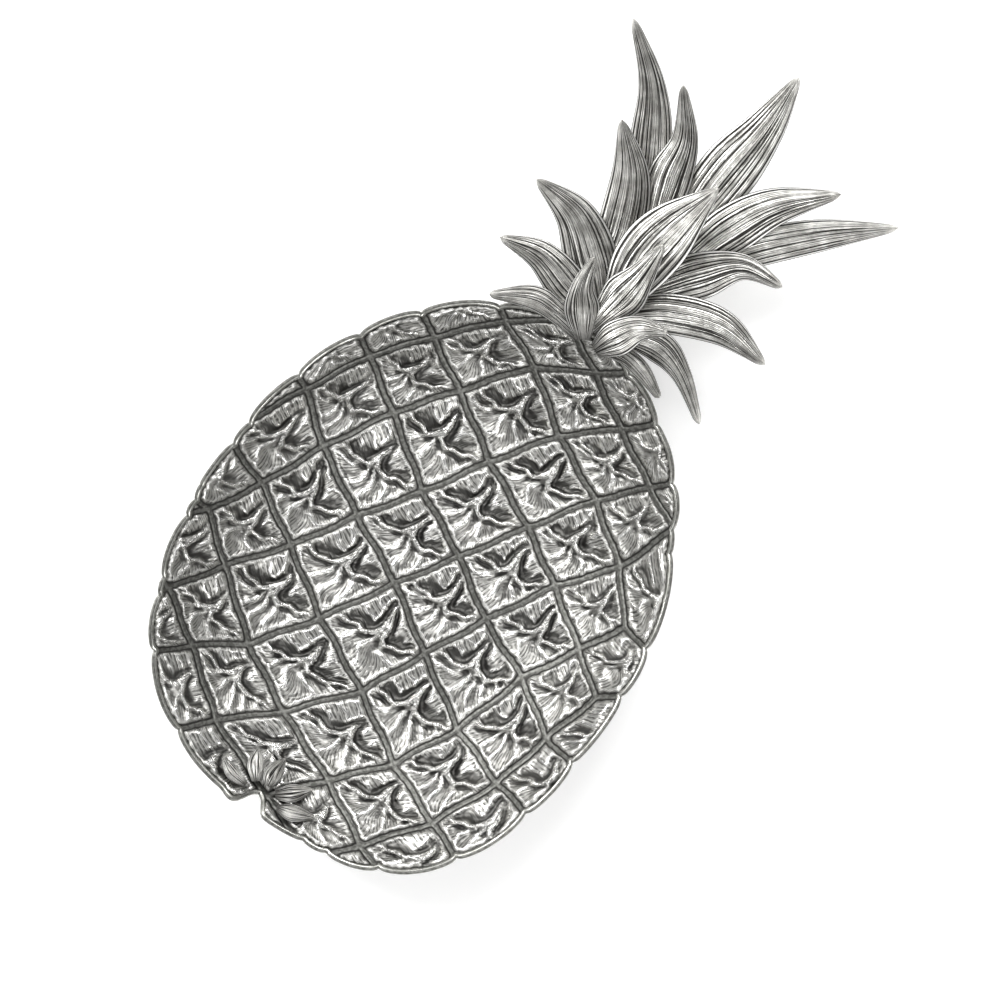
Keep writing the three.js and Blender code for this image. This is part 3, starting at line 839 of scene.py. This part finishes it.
def blade(line, half, height, shape, seed):
    """A closed leaf: its places, faces, each corner's spot across and along, and how deep
    the chased lines are at each place."""
    thickness, arch, groove_count, groove_depth, rows, columns = shape
    chance = np.random.default_rng(seed)
    shares = np.linspace(0, 1, rows + 1)
    middle = smooth_through(line, shares)
    reach = np.maximum(smooth_through(half, shares)[:, 0], LEAST_REACH)
    tip = np.sqrt(np.clip(1 - ((shares - TIP_START) / (1 - TIP_START)) ** 2, 0.03, 1))
    reach = reach * np.where(shares > TIP_START, tip, 1)
    way = np.gradient(middle, axis=0)
    way = way / np.linalg.norm(way, axis=1, keepdims=True)

    def lay(across):
        """The blade's middle surface and its half thickness over a row of shares across."""
        x = middle[:, :1] + way[:, 1:] * reach[:, None] * across
        y = middle[:, 1:] - way[:, :1] * reach[:, None] * across
        along = np.repeat(shares[:, None], len(across), axis=1)
        q = np.repeat(across[None, :], rows + 1, axis=0)
        body = thickness / 2 * np.sqrt(1 - q ** 4)
        return x, y, height(x, y, along) - arch * np.abs(q) ** 1.8, body, q, along

    across = np.sin(np.linspace(-1, 1, columns + 1) * 1.5) / math.sin(1.5)
    x, y, mid, body, q, along = lay(across)
    groove = np.zeros_like(q)
    for k in range(groove_count):
        start, bend, waver, strength, phase = chance.uniform(
            (-0.5, -0.05, 0.0, 0.55, 0), (0.5, 0.05, 0.03, 1, 6.3))
        place = 0.84 * (2 * (k + 0.5 + 0.7 * start) / groove_count - 1)
        place = place * (1 - 0.15 * along) + bend * along + waver * np.sin(9 * along + phase)
        fades = 0.65 + 0.35 * np.sin(5 * along + 2 * phase)
        wide = 0.36 / groove_count
        groove = np.maximum(groove, strength * fades * np.exp(-(((q - place) / wide) ** 2)))
    border = np.exp(-(((np.abs(q) - 0.87) / 0.03) ** 2)) * ease(0, 0.1, along)
    groove = np.maximum(groove, 0.75 * border)
    groove = groove * (1 - ease(0.93, 1, along)) * (1 - ease(0.93, 0.97, np.abs(q)))
    lump = 0.12 * np.sin(14 * along + 5 * q + seed) * (1 - q ** 2)
    top = mid + body + lump - groove_depth * groove
    width = columns + 1
    places = list(np.stack([x, y, top], -1).reshape(-1, 3))
    depth = list(groove.reshape(-1))
    spots = list(np.stack([q, along], -1).reshape(-1, 2))
    top_count = len(places)
    skip = columns // UNDER_COLUMNS
    under = across[::skip]
    x, y, mid, body, q, along = lay(under)
    places += list(np.stack([x, y, mid - body], -1).reshape(-1, 3))
    depth += [0.0] * q.size
    spots += list(np.stack([q, along], -1).reshape(-1, 2))
    under_width = len(under)
    faces = []
    for a in range(rows):
        for b in range(columns):
            p = a * width + b
            faces.append([p, p + width, p + width + 1, p + 1])
        for b in range(under_width - 1):
            p = top_count + a * under_width + b
            faces.append([p, p + 1, p + under_width + 1, p + under_width])
        left, right = a * width, a * width + columns
        low_left = top_count + a * under_width
        low_right = low_left + under_width - 1
        faces.append([left, low_left, low_left + under_width, left + width])
        faces.append([right, right + width, low_right + under_width, low_right])
    for row, turned in ((0, False), (rows, True)):
        for b in range(under_width - 1):
            low = top_count + row * under_width + b
            high = [row * width + b * skip + k for k in range(skip + 1)]
            face = high + [low + 1, low]
            faces.append(face if not turned else face[::-1])
    uv = [[spots[v] for v in face] for face in faces]
    return places, faces, uv, depth


# Thickness and arch in mm, how many grooves and how deep, rows and columns of faces.
LEAF_SHAPE = (1.6, 2.2, 12, 0.55, 84, 72)
LEAF_FULLNESS = 1.12
BLUNT_TIP = 1.4
LEAF_BRIGHT = (0.92, 0.91, 0.87)
LEAF_WORN = (0.54, 0.53, 0.5)

leaf_silver, nodes, links, shader = new_material("leaf silver")
leaf_uv = nodes.new("ShaderNodeUVMap")
leaf_uv.uv_map = "leaf"
leaf_parts = nodes.new("ShaderNodeSeparateXYZ")
links.new(leaf_uv.outputs["UV"], leaf_parts.inputs[0])
groove = attribute_node(nodes, "groove")
from_middle = math_node(nodes, links, "ABSOLUTE", leaf_parts.outputs["X"])
off_edge = ramp_node(nodes, links, from_middle, 0.84, 0.92, 1.0, 0.0)
fine_height, fine_dark = chased_lines(
    nodes, links, math_node(nodes, links, "MULTIPLY", leaf_parts.outputs["X"], 11.0), 0.35, 0.45, off_edge)
worn = ramp_node(nodes, links, noise_node(nodes, links, 130, 3), 0.35, 0.65)
# Painted shade darkens each leaf and bract at its root, where it runs under the leaves above, and towards
# its sides, with a dark painted shadow outline at the very edge.
root_shade = ramp_node(nodes, links, leaf_parts.outputs["Y"], 0.0, 0.32, 0.75, 0.0)
side_shade = math_node(nodes, links, "ADD", ramp_node(nodes, links, from_middle, 0.45, 0.86, 0.0, 0.3),
                    ramp_node(nodes, links, from_middle, 0.955, 0.995, 0.0, 0.65))
in_groove = ramp_node(nodes, links, groove, 0.06, 0.4)
dark = darkest(nodes, links, [(in_groove, 0.98), (fine_dark, 0.84), (root_shade, 1.0), (side_shade, 1.0)])
tone = mix_node(nodes, links, worn, LEAF_BRIGHT, LEAF_WORN)
# A painted highlight runs along each leaf's border, just inside the dark outline.
border_highlight = math_node(nodes, links, "MULTIPLY", ramp_node(nodes, links, from_middle, 0.89, 0.92),
                      ramp_node(nodes, links, from_middle, 0.96, 0.985, 1.0, 0.0))
tone = mix_node(nodes, links, border_highlight, tone, HIGHLIGHT_SILVER)
links.new(mix_node(nodes, links, dark, tone, DARK_SILVER), shader.inputs["Base Color"])
shader.inputs["Metallic"].default_value = 1.0
links.new(ramp_node(nodes, links, dark, 0.0, 0.9, 0.36, 0.55), shader.inputs["Roughness"])
bump = nodes.new("ShaderNodeBump")
bump.inputs["Strength"].default_value = 0.8
bump.inputs["Distance"].default_value = 0.0002
links.new(fine_height, bump.inputs["Height"])
links.new(bump.outputs["Normal"], shader.inputs["Normal"])

for number, (name, (line, half, layer, curl, dip)) in enumerate(LEAVES.items()):
    tuck = ROOT_TUCK[layer]
    first, second = np.array(line[0], float), np.array(line[1], float)
    full_line = [tuple(first + (first - second) * tuck)] + line if tuck else line
    full_half = [half[0] * ROOT_NARROWING] + half if tuck else half
    full_half = [max(reach, BLUNT_TIP) * LEAF_FULLNESS for reach in full_half]
    root_share = 1 / len(line) if tuck else 0

    def leaf_height(x, y, share, layer=layer, curl=curl, dip=dip, root_share=root_share):
        share = (share - root_share) / (1 - root_share)
        sunk = ROOT_SINK * np.maximum(-share, 0) / max(root_share, 0.01)
        share = np.maximum(share, 0)
        sweep = SWEEP_RISE * np.maximum(0, (y - SWEEP_START) / SWEEP_LENGTH) ** 1.5
        plain = LOWEST_LAYER + layer * LAYER_PITCH + sweep - sunk
        return plain + curl * share ** 3 - dip * (1 - share) ** 4

    places, faces, uv, depth = blade(full_line, full_half, leaf_height, LEAF_SHAPE, number)
    leaf = mesh_object("leaf_" + name, places, faces)
    give_uv(leaf, "leaf", uv)
    give_value(leaf, "groove", depth)
    leaf.data.materials.append(leaf_silver)
    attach(leaf, "root")
    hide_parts("crown_leaf_" + name)

# ---------------------------------------------------------------------------------------
# Base bracts. Five small leaves, cast and chased like the crown's, are soldered round the
# stalk notch and lie over the inside of the wall. Each has a middle line and half widths.
BRACTS = {
    "far_left": ([(-9, -119), (-17, -118), (-24, -115)], [0.9, 2.5, 0.7]),
    "left": ([(-6, -115), (-11, -109), (-14, -103)], [1.8, 3.0, 0.7]),
    "centre": ([(-1, -114), (-2, -108), (-2, -100)], [1.8, 3.4, 0.7]),
    "right": ([(4, -115), (10, -110), (16, -104)], [1.8, 3.2, 0.7]),
    "far_right": ([(8, -119), (15, -117), (24, -113)], [1.2, 3.0, 0.7]),
}
BRACT_STAND = 3.8
BRACT_FULLNESS = 1.25
BRACT_SHAPE = (2.0, 1.5, 6, 0.5, 48, 48)
FIRST_BRACT_SEED = 40
for number, (name, (line, half)) in enumerate(BRACTS.items()):
    def bract_height(x, y, share):
        wall, slope = wall_shape(x, y)
        return wall + (WALL_THICKNESS + BRACT_STAND) * slope

    full_half = [reach * BRACT_FULLNESS for reach in half]
    places, faces, uv, depth = blade(line, full_half, bract_height, BRACT_SHAPE,
                                    FIRST_BRACT_SEED + number)
    bract = mesh_object("bract_" + name, places, faces)
    give_uv(bract, "leaf", uv)
    give_value(bract, "groove", depth)
    bract.data.materials.append(leaf_silver)
    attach(bract, "root")
    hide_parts("base_bract_" + name)

# ---------------------------------------------------------------------------------------
# Crown seat. A plain tongue of rough, tarnished silver under the leaves, soldered to the
# outside of the rim. It is hidden from above and keeps its plain shape.
SEAT_SILVER = (0.30, 0.30, 0.285)
SEAT_STAIN = (0.12, 0.12, 0.11)
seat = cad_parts["crown_seat"]
seat_silver, nodes, links, shader = new_material("seat silver")
stain = ramp_node(nodes, links, noise_node(nodes, links, 300, 3), 0.3, 0.7)
stained = mix_node(nodes, links, stain, SEAT_SILVER, SEAT_STAIN)
links.new(stained, shader.inputs["Base Color"])
shader.inputs["Metallic"].default_value = 1.0
links.new(ramp_node(nodes, links, stain, 0.0, 1.0, 0.32, 0.5), shader.inputs["Roughness"])
seat.data.materials.clear()
seat.data.materials.append(seat_silver)
